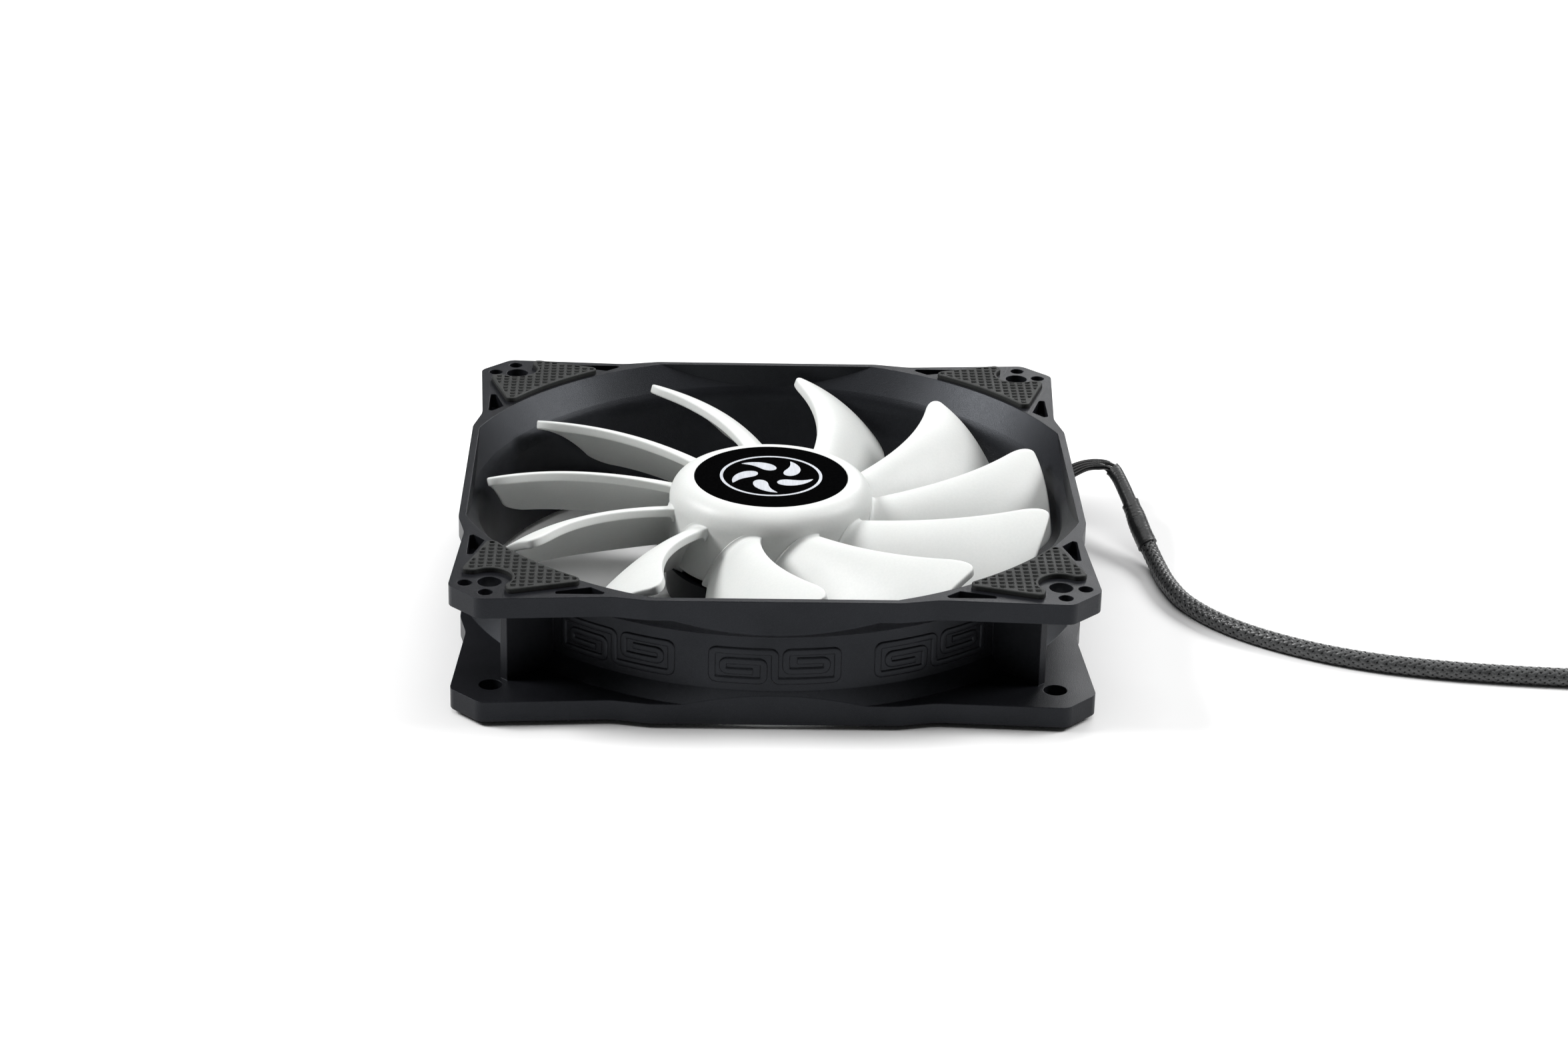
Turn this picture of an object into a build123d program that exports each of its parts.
from build123d import *

import os
from math import atan2, cos, degrees, hypot, radians, sin, sqrt, tan

# A 120 mm computer case fan, lying with its inlet side up. Millimetres.
# Origin: centre of the square that it rests on, at the underside of the lower rubber pads.
# +X is the side that the cable leaves, +Y is the far side, +Z is the side the air comes in.

# ---- frame ----
PAD_HEIGHT = 1.0          # rubber pads stand this far out of both flanges
FRAME_SIZE = 120.0
FRAME_DEPTH = 25.0
FLANGE = 4.0
HALF = FRAME_SIZE / 2
OUTLET = PAD_HEIGHT       # height of the outlet face
INLET = OUTLET + FRAME_DEPTH
CORNER = 54.2             # the 45 degree corner cut starts this far along each side
EAR = 30.0                # the ears start here and dip in by EAR_DIP
EAR_DIP = 1.5
MIDDLE = 23.0             # half the straight middle of each side
BARREL_R = 59.3
BORE_R = 57.5
FLARE_R = 62.7            # inlet flare at the inlet face
FLARE_START = 20.0        # height where the bore starts to open out
INNER_WALL = 58.6         # the flare is cut off by flat walls this far from the centre
RIB_END = 70.9            # a rib on each diagonal joins the flanges, from the barrel to here
RIB_THICK = 1.8

# ---- holes in the flanges ----
SCREW_PITCH = 105.0
SCREW_AT = SCREW_PITCH / 2
SCREW_R = 2.2
SMALL_HOLE_R = 1.35
SMALL_HOLE = (57.0, 53.0)
POCKET_DEPTH = 3.0
POCKET = ((56.6, 31.2), (54.4, 33.8), (56.3, 40.3), (57.4, 40.3), (57.4, 31.6))

# ---- rubber pads ----
PAD_INNER_R = 63.4
PAD_SIDE = ((53.3, 34.3), (57.9, 48.9))
PAD_HOLE_R = 4.2          # the pad curves round the screw hole
WAFFLE_PITCH = 1.6
WAFFLE_POCKET = 1.15      # mouth of a pocket, which narrows downwards
WAFFLE_DEPTH = 0.45
WAFFLE_TAPER = 35.0
WAFFLE_EDGE = 0.5
WAFFLE_SLIVER = 0.05      # smaller pieces of a pocket than this volume are left out

# ---- motor cup and struts, part of the frame ----
CUP_R = 20.5
CUP_INNER_R = 19.0
CUP_TOP = 8.2
CUP_FLOOR = 3.3
LABEL_R = 18.4
LABEL_RECESS = 0.3
STRUTS = 4
STRUT_OFFSET = 10.0       # each strut's line passes this far from the centre
STRUT_TURN = 25.0         # direction of the first strut, which carries the leads
STRUT_WIDTH = 3.4
STRUT_HEIGHT = 4.6
LEAD_STRUT_WIDTH = 7.2
LEAD_STRUT_HEIGHT = 5.6
CHANNEL_WIDTH = 5.0
CHANNEL_FLOOR = 5.0

# ---- rotor ----
HUB_R = 20.0
HUB_INNER_R = 18.5
HUB_BOTTOM = 9.2
HUB_TOP = 25.4
SHOULDER_START = 20.6     # height where the hub's side starts to round over
STICKER_R = 15.1
STICKER_THICK = 0.25
BLADES = 11
BLADE_THICK = 1.8
TIP_R = 55.8
BLADE_EDGE = 0.6
SPAN = 36.0               # from the hub's radius to where the blade's far end is stated
# Polynomials of s, which runs from 0 at the hub to 1 at SPAN: degrees about the axis, and heights
# above the outlet face. The bends say how far along its chord a section's curve is pulled.
LEAD_ANGLE = (165.0, 12.6, 6.9)
LEAD_HEIGHT = (18.8, 6.3, -1.2)
TRAIL_ANGLE = (137.0, 54.8, -72.1, 58.0, -14.5)
TRAIL_HEIGHT = (8.6, 1.2)
BEND_ANGLE = (0.464, 0.136)
BEND_HEIGHT = (-0.08, 0.35)
YOKE_R = 18.4
YOKE_TOP = 22.3
YOKE_BOTTOM = 9.9
YOKE_WALL = 0.8
MAGNET_INNER_R = 15.6
MAGNET_BOTTOM = 10.4
MAGNET_TOP = 19.6
SHAFT_R = 1.5
SHAFT_BOTTOM = 4.1
BUSH_R = 3.2
BUSH_BOTTOM = 21.0
BUSH_TOP = 23.8

# ---- stator and bearing ----
TUBE_R = 4.2
TUBE_INNER_R = 3.1
TUBE_TOP = 20.4
BEARING_BORE_R = 1.54
BEARING_BOTTOM = 6.2
BEARING_TOP = 19.4
RING_R = 2.7
CORE_BOTTOM = 12.2
CORE_TOP = 17.8
POLES = 4
POLE_R = 15.0
ARM_WIDTH = 4.4
COIL_INNER_R = 6.6
COIL_OUTER_R = 11.9
INSULATOR = 0.8
BOARD_R = 17.6
BOARD_BOTTOM = 6.6
BOARD_TOP = 7.6

# ---- cable ----
WIRE_R = 0.55
WIRE_PITCH = 1.15
WIRES = 4
RIBBON_D = 2.2
NEAR_SHRINK_D = 3.0
FAR_SHRINK_D = 4.1
SLEEVE_D = 3.6
RIBBON_END = 23.2         # distances along the route
NEAR_SHRINK_END = 35.3
FAR_SHRINK_END = 46.8
COIL_OUTER_TURN = 23.6    # radius of the coil's outer turn; 2.25 turns lie side by side inside it
COIL_WIDTH = 11.0
COIL_HEIGHT = SLEEVE_D + 0.1
COIL_CENTRE = (186.0, -16.0)
FLOOR_SLEEVE = SLEEVE_D / 2
ROUTE = (
    (51.6, 35.0, 6.4),
    (55.6, 36.9, 7.2),
    (59.6, 38.7, 8.8),
    (63.9, 40.7, 10.6),
    (67.0, 41.1, 11.8),
    (69.9, 40.4, 12.5),
    (72.3, 38.6, 12.6),
    (73.9, 36.0, 12.0),
    (74.7, 31.4, 10.6),
    (75.1, 26.4, 8.5),
    (76.3, 21.6, 5.8),
    (77.7, 16.6, 3.2),
    (79.2, 10.4, FLOOR_SLEEVE),
    (81.4, 2.0, FLOOR_SLEEVE),
    (84.4, -7.4, FLOOR_SLEEVE),
    (91.2, -17.8, FLOOR_SLEEVE),
    (101.4, -26.2, FLOOR_SLEEVE),
    (113.8, -32.0, FLOOR_SLEEVE),
    (127.6, -35.4, FLOOR_SLEEVE),
    (142.0, -37.4, FLOOR_SLEEVE),
    (156.4, -38.6, FLOOR_SLEEVE),
    (171.0, -39.4, FLOOR_SLEEVE),
    (186.0, -39.6, FLOOR_SLEEVE),
)
TAIL = (
    (201.5, -16.0, COIL_HEIGHT + FLOOR_SLEEVE),
    (201.8, -7.6, 5.7),
    (202.6, 1.0, 5.6),
    (203.6, 9.4, 4.0),
    (204.4, 18.0, 2.7),
)
TIE_WIDTH = 5.0
END_SHRINK_D = 4.2
END_SHRINK_LENGTH = 9.0
OPEN_LEADS = 7.0          # leads that show between that tube and the connector
CONNECTOR = (10.8, 12.2, 5.8)   # width, length, height of the 4-pin housing
PIN_PITCH = 2.54


def disc(radius, bottom, top):
    """A cylinder about the fan's axis between two heights."""
    low = (Align.CENTER, Align.CENTER, Align.MIN)
    return Pos(0, 0, bottom) * Cylinder(radius, top - bottom, align=low)


def ring(outer, inner, bottom, top):
    """A tube about the fan's axis between two heights."""
    return disc(outer, bottom, top) - disc(inner, bottom - 1, top + 1)


def prism(outline, bottom, top):
    """An outline in the XY plane raised between two heights."""
    return extrude(Pos(0, 0, bottom) * outline, top - bottom, dir=(0, 0, 1))


def turned(points):
    """A solid turned about the fan's axis from a closed outline of (radius, height) points."""
    return revolve(Plane.XZ * make_face(Polyline(*points, close=True)), axis=Axis.Z)


def on_diagonal(points):
    """The same points mirrored across the line x = y."""
    return [(y, x) for x, y in points]


def quarter_turns(shape):
    """Four copies of a shape, a quarter turn apart."""
    return [Rot(0, 0, 90 * i) * shape for i in range(4)]


# ---- frame ----

def flange_outline():
    """Square plate with cut corners, whose ears dip in beside each side's straight middle."""
    side = (
        (-CORNER, -HALF),
        (-EAR, EAR_DIP - HALF),
        (-MIDDLE, -HALF),
        (MIDDLE, -HALF),
        (EAR, EAR_DIP - HALF),
        (CORNER, -HALF),
    )
    points = [Vector(*p).rotate(Axis.Z, 90 * i) for i in range(4) for p in side]
    plate = make_face(Polyline(*points, close=True))
    for along, radius in ((CORNER, 2.5), (EAR, 9.0), (MIDDLE, 7.0)):
        near = [v for v in plate.vertices() if abs(min(abs(v.X), abs(v.Y)) - along) < 0.1]
        plate = fillet(near, radius)
    return plate


def frame_body(outline):
    """Flanges, barrel and corner ribs, before the bore is cut."""
    wall = turned((
        (0, OUTLET),
        (BARREL_R + 3, OUTLET),
        (BARREL_R + 3, OUTLET + FLANGE),
        (BARREL_R, OUTLET + FLANGE + 2.5),
        (BARREL_R, FLARE_START - 1.5),
        (FLARE_R + 1.2, INLET - FLANGE + 1),
        (FLARE_R + 1.2, INLET),
        (0, INLET),
    ))
    ribs = Rot(0, 0, 45) * Rectangle(2 * RIB_END, RIB_THICK)
    ribs += Rot(0, 0, 90) * ribs
    body = wall + prism(ribs, OUTLET, INLET)
    body = body & prism(outline, OUTLET, INLET)
    body += prism(outline, OUTLET, OUTLET + FLANGE)
    body += prism(outline, INLET - FLANGE, INLET)
    return body


def bore():
    """The air passage: a straight bore that flares out to the inlet, cut off by flat walls."""
    slope = (FLARE_R - BORE_R) / (INLET - FLARE_START)
    outline = make_face(Polyline(
        (0, OUTLET - 1),
        (BORE_R, OUTLET - 1),
        (BORE_R, FLARE_START),
        (FLARE_R + slope, INLET + 1),
        (0, INLET + 1),
        close=True,
    ))
    throat = [v for v in outline.vertices() if abs(v.Y - FLARE_START) < 0.1]
    passage = revolve(Plane.XZ * fillet(throat, 5.0), axis=Axis.Z)
    return passage & Pos(0, 0, INLET / 2) * Box(2 * INNER_WALL, 2 * INNER_WALL, 2 * INLET)


def flange_holes():
    """Screw holes through both flanges, two small holes and two pockets in each inlet corner."""
    corner = Pos(SCREW_AT, SCREW_AT, 0) * disc(SCREW_R, OUTLET - 1, INLET + 1)
    for x, y in (SMALL_HOLE, SMALL_HOLE[::-1]):
        corner += Pos(x, y, 0) * disc(SMALL_HOLE_R, INLET - FLANGE - 1, INLET + 1)
    for points in (POCKET, on_diagonal(POCKET)):
        outline = make_face(Polyline(*points, close=True))
        outline = fillet(outline.vertices(), 0.35)
        corner += prism(outline, INLET - POCKET_DEPTH, INLET + 1)
    return quarter_turns(corner)


def motor_cup():
    """The fixed cup under the rotor, with a recess for the rear label."""
    return turned((
        (0, OUTLET + LABEL_RECESS),
        (LABEL_R, OUTLET + LABEL_RECESS),
        (LABEL_R, OUTLET),
        (CUP_R - 0.8, OUTLET),
        (CUP_R, OUTLET + 0.8),
        (CUP_R, CUP_TOP),
        (CUP_INNER_R, CUP_TOP),
        (CUP_INNER_R, CUP_FLOOR),
        (0, CUP_FLOOR),
    ))


def strut(width, height):
    """A straight strut beside the +X axis, from the cup to the barrel."""
    start = sqrt(CUP_INNER_R**2 - STRUT_OFFSET**2) + 0.6
    end = sqrt(BORE_R**2 - STRUT_OFFSET**2) + 0.8
    bar = Box(end - start, width, height, align=(Align.MIN, Align.CENTER, Align.MIN))
    bar = fillet(bar.edges().filter_by(Axis.X).group_by(Axis.Z)[-1], 0.9)
    return Pos(start, STRUT_OFFSET, OUTLET) * bar


def channel():
    """The slot along the first strut, out through the barrel, that the leads lie in."""
    start = sqrt(CUP_INNER_R**2 - STRUT_OFFSET**2) - 2
    length = FRAME_SIZE / 2 + 8 - start
    depth = LEAD_STRUT_HEIGHT + OUTLET - CHANNEL_FLOOR + 0.2
    slot = Box(length, CHANNEL_WIDTH, depth, align=(Align.MIN, Align.CENTER, Align.MIN))
    return Rot(0, 0, STRUT_TURN) * Pos(start, STRUT_OFFSET, CHANNEL_FLOOR) * slot


def frame():
    outline = flange_outline()
    body = frame_body(outline) - bore()
    body -= flange_holes()
    body += motor_cup()
    body += Rot(0, 0, STRUT_TURN) * strut(LEAD_STRUT_WIDTH, LEAD_STRUT_HEIGHT)
    for i in range(1, STRUTS):
        body += Rot(0, 0, STRUT_TURN + 90 * i) * strut(STRUT_WIDTH, STRUT_HEIGHT)
    return body - channel()


# ---- rubber pads ----

def pad_outline():
    """One corner's pad: an arc beside the bore, straight sides and a scoop round the screw hole."""
    low, tip = PAD_SIDE
    scoop = PAD_HOLE_R * sqrt(0.5)
    start = (SCREW_AT + scoop, SCREW_AT - scoop)
    middle = (SCREW_AT - scoop, SCREW_AT - scoop)
    inner = PAD_INNER_R * sqrt(0.5)
    edges = [
        Polyline(low, tip, start),
        ThreePointArc(start, middle, start[::-1]),
        Polyline(start[::-1], tip[::-1], low[::-1]),
        ThreePointArc(low[::-1], (inner, inner), low),
    ]
    outline = make_face(edges)
    for (x, y), radius in ((low, 1.3), (tip, 1.0), (start, 1.3)):
        spots = ((x, y), (y, x))
        near = [v for v in outline.vertices() if min(hypot(v.X - a, v.Y - b) for a, b in spots) < 0.2]
        outline = fillet(near, radius)
    return outline


def waffle(outline):
    """The grid of tapered square pockets sunk in a pad's outer face."""
    top = INLET + PAD_HEIGHT
    mouth = Pos(0, 0, top) * Rectangle(WAFFLE_POCKET, WAFFLE_POCKET)
    pocket = extrude(mouth, WAFFLE_DEPTH, dir=(0, 0, -1), taper=WAFFLE_TAPER)
    field = prism(offset(outline, -WAFFLE_EDGE), top - 1, top + 1)
    count = round(HALF / WAFFLE_PITCH)
    places = [Pos(i * WAFFLE_PITCH, j * WAFFLE_PITCH, 0) for i in range(count) for j in range(count)]
    pockets = [place * pocket & field for place in places]
    return [piece for piece in pockets if piece and piece.volume > WAFFLE_SLIVER]


def inlet_pad():
    """A pad in the +X +Y corner, standing on the inlet face."""
    outline = pad_outline()
    pad = prism(outline, INLET, INLET + PAD_HEIGHT)
    pad = fillet(pad.faces().sort_by(Axis.Z)[-1].outer_wire().edges(), 0.25)
    return pad - waffle(outline)


# ---- rotor ----

def bezier(first, middle, last, t):
    """A point of a quadratic Bezier curve, for one coordinate."""
    return first * (1 - t) ** 2 + 2 * middle * t * (1 - t) + last * t * t


def polynomial(factors, s):
    return sum(factor * s**power for power, factor in enumerate(factors))


def blade_middle(s, t):
    """The blade's middle surface: s from the hub to the tip, t from the leading to the trailing edge."""
    lead_angle, trail_angle = polynomial(LEAD_ANGLE, s), polynomial(TRAIL_ANGLE, s)
    lead_height = OUTLET + polynomial(LEAD_HEIGHT, s)
    trail_height = OUTLET + polynomial(TRAIL_HEIGHT, s)
    bend_angle = lead_angle + (trail_angle - lead_angle) * polynomial(BEND_ANGLE, s)
    bend_height = lead_height + (trail_height - lead_height) * polynomial(BEND_HEIGHT, s)
    angle = radians(bezier(lead_angle, bend_angle, trail_angle, t))
    radius = HUB_R + SPAN * s
    height = bezier(lead_height, bend_height, trail_height, t)
    return Vector(radius * cos(angle), radius * sin(angle), height)


def blade_skin(s, t):
    """The point of the blade's upper face above its middle surface."""
    step = 0.001
    point = blade_middle(s, t)
    along = blade_middle(s + step, t) - point
    across = blade_middle(s, t + step) - point
    return point + along.cross(across).normalized() * (BLADE_THICK / 2)


def tip_cutter():
    """Everything inside the blades' tips, with the tips' two corners rounded."""
    lead = OUTLET + sum(LEAD_HEIGHT)
    trail = OUTLET + sum(TRAIL_HEIGHT)
    lead_start = (TIP_R, lead - 2.2)
    lead_end = (TIP_R - 6, lead + 0.6)
    trail_start = (TIP_R - 3, trail - 0.6)
    trail_end = (TIP_R, trail + 1.8)
    edges = [
        Polyline(lead_end, (TIP_R - 8, lead + 3), (0, lead + 3), (0, 0), (TIP_R - 6, trail - 2), trail_start),
        Bezier(trail_start, (TIP_R, trail - 0.6), trail_end),
        Line(trail_end, lead_start),
        Bezier(lead_start, (TIP_R, lead + 0.4), lead_end),
    ]
    return revolve(Plane.XZ * make_face(edges), axis=Axis.Z)


def blade():
    inner, outer = -0.022, 1.04
    rows, columns = 6, 8
    skin = [
        [blade_skin(inner + (outer - inner) * i / rows, j / columns) for j in range(columns + 1)]
        for i in range(rows + 1)
    ]
    surface = Face.make_surface_from_array_of_points(skin, tol=0.005)
    solid = Solid.thicken(surface, -BLADE_THICK) & tip_cutter()
    free = [e for e in solid.edges() if any(hypot(v.X, v.Y) > HUB_R + 2 for v in e.vertices())]
    return fillet(free, BLADE_EDGE)


def hub():
    """The rotor's plastic cup: round shoulder, flat top with a shallow seat for the sticker."""
    shoulder = HUB_TOP - SHOULDER_START
    edges = [
        Polyline((HUB_INNER_R, HUB_BOTTOM), (HUB_R, HUB_BOTTOM), (HUB_R, SHOULDER_START)),
        Bezier(
            (HUB_R, SHOULDER_START),
            (HUB_R, SHOULDER_START + 0.62 * shoulder),
            (STICKER_R + 3.0, HUB_TOP),
            (STICKER_R + 0.3, HUB_TOP),
        ),
        Polyline(
            (STICKER_R + 0.3, HUB_TOP),
            (STICKER_R + 0.05, HUB_TOP - 0.2),
            (0, HUB_TOP - 0.2),
            (0, BUSH_TOP),
            (12, BUSH_TOP),
            (12, YOKE_TOP),
            (HUB_INNER_R - 0.1, YOKE_TOP),
            (HUB_INNER_R - 0.1, YOKE_BOTTOM + 0.1),
            (HUB_INNER_R, YOKE_BOTTOM),
            (HUB_INNER_R, HUB_BOTTOM),
        ),
    ]
    return revolve(Plane.XZ * make_face(edges), axis=Axis.Z)


def rotor_blades(cup):
    """Every blade by name, cut off where it meets the hub."""
    one = blade() - cup
    return {f"blade_{i + 1:02d}": Rot(0, 0, 360 / BLADES * i) * one for i in range(BLADES)}


def hub_sticker():
    return disc(STICKER_R, HUB_TOP - 0.2, HUB_TOP - 0.2 + STICKER_THICK)


def rotor_yoke():
    """Steel cup pressed into the hub."""
    cup = disc(YOKE_R, YOKE_BOTTOM, YOKE_TOP)
    cup -= disc(YOKE_R - YOKE_WALL, YOKE_BOTTOM - 1, YOKE_TOP - YOKE_WALL)
    return cup - disc(BUSH_R, YOKE_BOTTOM, YOKE_TOP + 1)


def ring_magnet():
    return ring(YOKE_R - YOKE_WALL, MAGNET_INNER_R, MAGNET_BOTTOM, MAGNET_TOP)


def shaft_bush():
    return ring(BUSH_R, SHAFT_R, BUSH_BOTTOM, BUSH_TOP)


def rotor_shaft():
    """Ground steel shaft with a rounded lower end and a groove for the retaining ring."""
    shaft = disc(SHAFT_R, SHAFT_BOTTOM, BUSH_TOP)
    shaft = fillet(shaft.edges().sort_by(Axis.Z)[0], 0.7)
    return shaft - ring(SHAFT_R + 1, SHAFT_R - 0.3, 5.1, 5.5)


def retaining_ring():
    """Split washer in the shaft's groove, which keeps the rotor in its bearing."""
    washer = ring(RING_R, SHAFT_R - 0.3, 5.1, 5.5)
    return washer - Pos(2, 0, 5.3) * Box(4, 0.7, 2)


# ---- stator and bearing ----

def bearing_tube():
    """Brass tube standing on the cup's floor, closed below."""
    return disc(TUBE_R, CUP_FLOOR, TUBE_TOP) - disc(TUBE_INNER_R, CUP_FLOOR + 0.1, TUBE_TOP + 1)


def thrust_pad():
    return disc(TUBE_INNER_R, CUP_FLOOR + 0.1, SHAFT_BOTTOM - 0.04)


def sleeve_bearing():
    """Sintered bronze sleeve that the shaft turns in."""
    return ring(TUBE_INNER_R, BEARING_BORE_R, BEARING_BOTTOM, BEARING_TOP)


def oil_ring():
    """Nylon washer that keeps the oil in the bearing."""
    return ring(TUBE_INNER_R, SHAFT_R + 0.12, BEARING_TOP, BEARING_TOP + 0.6)


def pole_outline(edge):
    """Four arms with curved pole shoes, drawn in by edge all round."""
    shape = Circle(6.2)
    for i in range(POLES):
        arm = Pos(POLE_R / 2, 0) * Rectangle(POLE_R, ARM_WIDTH - 2 * edge)
        shape += Rot(0, 0, 90 * i) * arm
    shoes = Circle(POLE_R - edge) - Circle(COIL_OUTER_R + 0.8 + edge)
    gap = 2 * (1.4 + edge)
    for i in range(2):
        shoes -= Rot(0, 0, 45 + 90 * i) * Rectangle(3 * POLE_R, gap)
    return shape + shoes - Circle(TUBE_R)


def stator_core():
    """Laminated steel core, drawn as one solid."""
    return prism(pole_outline(0), CORE_BOTTOM, CORE_TOP)


def insulator(bottom):
    """Moulded end plate between the core and the windings."""
    return prism(pole_outline(0.1), bottom, bottom + INSULATOR)


def stator_coil():
    """One winding round the arm on the +X side."""
    length = COIL_OUTER_R - COIL_INNER_R
    height = CORE_TOP - CORE_BOTTOM + 2 * INSULATOR
    middle = (COIL_INNER_R + COIL_OUTER_R) / 2
    outside = fillet(Box(length, ARM_WIDTH + 3.2, height + 2.4).edges().filter_by(Axis.X), 1.1)
    winding = outside - Box(length + 1, ARM_WIDTH, height)
    return Pos(middle, 0, (CORE_BOTTOM + CORE_TOP) / 2) * winding


def circuit_board():
    board = ring(BOARD_R, TUBE_R, BOARD_BOTTOM, BOARD_TOP)
    return board - Rot(0, 0, STRUT_TURN + 120) * Pos(BOARD_R, 0, 7) * Box(2.4, 3, 4)


def driver_chip():
    return Rot(0, 0, 200) * Pos(11, 0, BOARD_TOP + 0.55) * Box(4.0, 5.0, 1.1)


def hall_sensor():
    return Rot(0, 0, 45) * Pos(14.6, 0, BOARD_TOP + 0.6) * Box(1.6, 3.0, 1.2)


def board_capacitors():
    """Two chip capacitors."""
    one = Pos(9, 0, BOARD_TOP + 0.5) * Box(1.2, 2.0, 1.0)
    return Part(children=[Rot(0, 0, turn) * one for turn in (270, 300)])


def rear_label():
    return disc(LABEL_R - 0.3, OUTLET + 0.1, OUTLET + LABEL_RECESS)


# ---- cable ----

def channel_leads():
    """Four leads side by side in the strut's channel, from the board to the barrel's outside."""
    start = sqrt(CUP_INNER_R**2 - STRUT_OFFSET**2) - 1.2
    end = BARREL_R + 2.1
    leads = []
    for i in range(WIRES):
        aside = STRUT_OFFSET + (i - (WIRES - 1) / 2) * WIRE_PITCH
        lead = Rot(0, 90, 0) * Cylinder(WIRE_R, end - start)
        leads.append(Pos((start + end) / 2, aside, CHANNEL_FLOOR + WIRE_R + 0.05) * lead)
    return Rot(0, 0, STRUT_TURN) * Part(children=leads)


def bend_radii(points):
    """The largest arc for each corner of a route that leaves its two runs a straight middle."""
    radii = []
    for before, here, after in zip(points, points[1:], points[2:]):
        run_in = Vector(*here) - Vector(*before)
        run_out = Vector(*after) - Vector(*here)
        half_turn = radians(run_in.get_angle(run_out)) / 2
        radii.append(0.45 * min(run_in.length, run_out.length) / tan(half_turn))
    return radii


def route_wire(name, points):
    """A route's line, with its runs joined by arcs whose radii are printed."""
    radii = bend_radii(points)
    print(name, "radii", [round(r, 1) for r in radii])
    return FilletPolyline(*points, radius=radii).wire()


def stretch(wire, start, end, diameter):
    """A round tube along part of a route, between two distances from its start."""
    part = wire.trim(start / wire.length, min(end / wire.length, 1.0))
    section = Plane(origin=part @ 0, z_dir=part % 0) * Circle(diameter / 2)
    tube = sweep(section, path=part)
    print("  tube", round(tube.volume, 1), "section times length",
          round(section.area * part.length, 1), "length", round(part.length, 1))
    return tube


def cable_coil():
    """The outer shape of the put-away turns: a flat ring lying on the floor."""
    outer = COIL_OUTER_TURN + SLEEVE_D / 2
    turns = ring(outer, outer - COIL_WIDTH, 0, COIL_HEIGHT)
    turns = fillet(turns.edges(), 1.2)
    return Pos(*COIL_CENTRE, 0) * turns


def coil_tie():
    """A strap over the coil's turns, on the side towards the fan."""
    low = (Align.CENTER, Align.CENTER, Align.MIN)
    outer = Box(COIL_WIDTH + 1.8, TIE_WIDTH, COIL_HEIGHT + 0.8, align=low)
    outer = fillet(outer.edges().filter_by(Axis.Y), 1.4)
    hole = Pos(0, 0, -1) * Box(COIL_WIDTH + 0.5, TIE_WIDTH + 1, COIL_HEIGHT + 1.05, align=low)
    centre_x, centre_y = COIL_CENTRE
    middle = COIL_OUTER_TURN + SLEEVE_D / 2 - COIL_WIDTH / 2
    return Pos(centre_x - middle, centre_y, 0) * (outer - hole)


def connector_place():
    """Where the connector's back face is, and the way that it points."""
    last, before = Vector(*TAIL[-1]), Vector(*TAIL[-2])
    heading = degrees(atan2(last.Y - before.Y, last.X - before.X))
    return Pos(last.X, last.Y, 0) * Rot(0, 0, heading)


def end_shrink():
    """Heat-shrink over the sleeve's end."""
    low = (Align.CENTER, Align.CENTER, Align.MIN)
    tube = Rot(0, 90, 0) * Cylinder(END_SHRINK_D / 2, END_SHRINK_LENGTH, align=low)
    return connector_place() * Pos(0, 0, CONNECTOR[2] / 2 - 0.2) * tube


def connector_leads():
    """Four short leads from the end of the sleeve to the housing."""
    length = OPEN_LEADS
    start = END_SHRINK_LENGTH
    leads = []
    for i in range(WIRES):
        inner = (i - (WIRES - 1) / 2) * 0.95
        outer = (i - (WIRES - 1) / 2) * PIN_PITCH
        turn = degrees(atan2(outer - inner, length))
        long = hypot(outer - inner, length)
        lead = Rot(0, 0, turn) * Rot(0, 90, 0) * Cylinder(0.45, long)
        leads.append(Pos(start + length / 2, (inner + outer) / 2, CONNECTOR[2] / 2) * lead)
    cut = Pos(start + length / 2, 0, CONNECTOR[2] / 2) * Box(length, 2 * CONNECTOR[0], 4)
    return connector_place() * Part(children=[lead & cut for lead in leads])


def connector_housing():
    """Polarised 4-pin socket housing with two guide ribs."""
    width, length, height = CONNECTOR
    start = END_SHRINK_LENGTH + OPEN_LEADS
    low = (Align.MIN, Align.CENTER, Align.MIN)
    body = Pos(start, 0, 0) * Box(length, width, height, align=low)
    for side in (-1, 1):
        body += Pos(start, side * 2.4, height) * Box(length, 1.1, 0.9, align=low)
    for i in range(WIRES):
        aside = (i - (WIRES - 1) / 2) * PIN_PITCH
        body -= Pos(start - 1, aside, height / 2) * Rot(0, 90, 0) * Cylinder(
            0.95, length + 2, align=(Align.CENTER, Align.CENTER, Align.MIN)
        )
    return connector_place() * body


def connector_contacts():
    """Four crimped socket contacts inside the housing."""
    length, height = CONNECTOR[1:]
    start = END_SHRINK_LENGTH + OPEN_LEADS
    contacts = []
    for i in range(WIRES):
        aside = (i - (WIRES - 1) / 2) * PIN_PITCH
        sleeve = Box(length - 3, 1.3, 1.3) - Box(length, 0.7, 0.7)
        contacts.append(Pos(start + length / 2 + 1, aside, height / 2) * sleeve)
    return connector_place() * Part(children=contacts)


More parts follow.
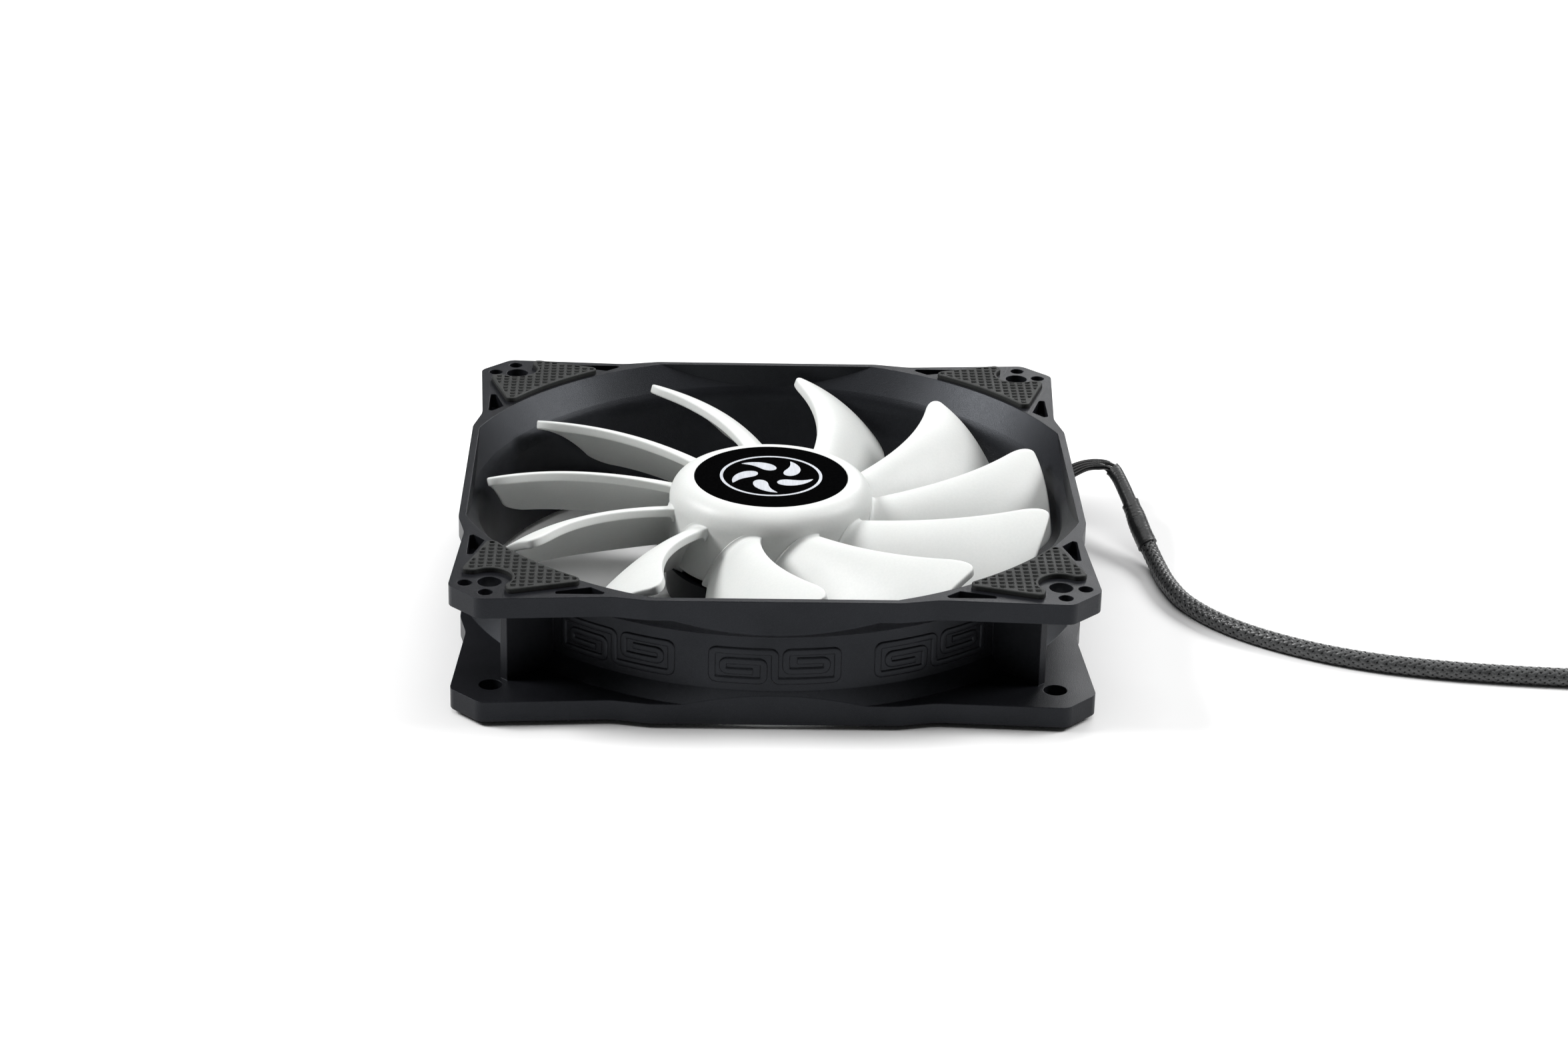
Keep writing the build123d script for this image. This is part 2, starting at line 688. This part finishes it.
def build():
    """Every node by name."""
    cup = hub()
    nodes = {
        "frame": frame(),
        "motor_bearing_tube": bearing_tube(),
        "thrust_pad": thrust_pad(),
        "sleeve_bearing": sleeve_bearing(),
        "oil_ring": oil_ring(),
        "stator_core": stator_core(),
        "insulator_upper": insulator(CORE_TOP),
        "insulator_lower": insulator(CORE_BOTTOM - INSULATOR),
        "circuit_board": circuit_board(),
        "driver_chip": driver_chip(),
        "hall_sensor": hall_sensor(),
        "board_capacitors": board_capacitors(),
        "rear_label": rear_label(),
        "impeller_hub": cup,
        "hub_sticker": hub_sticker(),
        "rotor_yoke": rotor_yoke(),
        "ring_magnet": ring_magnet(),
        "shaft_bush": shaft_bush(),
        "rotor_shaft": rotor_shaft(),
        "retaining_ring": retaining_ring(),
        "channel_leads": channel_leads(),
    }
    nodes |= rotor_blades(cup)
    for i in range(POLES):
        nodes[f"stator_coil_{i + 1}"] = Rot(0, 0, 90 * i) * stator_coil()

    pad = inlet_pad()
    below = mirror(pad, about=Plane.XY.offset((OUTLET + INLET) / 2))
    corners = ("back_right", "back_left", "front_left", "front_right")
    for i, corner in enumerate(corners):
        nodes[f"inlet_pad_{corner}"] = Rot(0, 0, 90 * i) * pad
        nodes[f"outlet_pad_{corner}"] = Rot(0, 0, 90 * i) * below

    free = route_wire("route", ROUTE)
    nodes["lead_ribbon"] = stretch(free, 0, RIBBON_END, RIBBON_D)
    nodes["heat_shrink_near"] = stretch(free, RIBBON_END, NEAR_SHRINK_END, NEAR_SHRINK_D)
    nodes["heat_shrink_far"] = stretch(free, NEAR_SHRINK_END, FAR_SHRINK_END, FAR_SHRINK_D)
    coil = cable_coil()
    nodes["cable_sleeve"] = stretch(free, FAR_SHRINK_END, free.length, SLEEVE_D) - coil
    nodes["cable_coil"] = coil
    nodes["coil_tie"] = coil_tie()
    tail = route_wire("tail", TAIL)
    nodes["cable_tail"] = stretch(tail, 0, tail.length, SLEEVE_D) - coil
    nodes["heat_shrink_end"] = end_shrink()
    nodes["connector_leads"] = connector_leads()
    nodes["connector_housing"] = connector_housing()
    nodes["connector_contacts"] = connector_contacts()
    return nodes


os.makedirs("parts", exist_ok=True)
for name, shape in build().items():
    export_step(shape, f"parts/{name}.step")
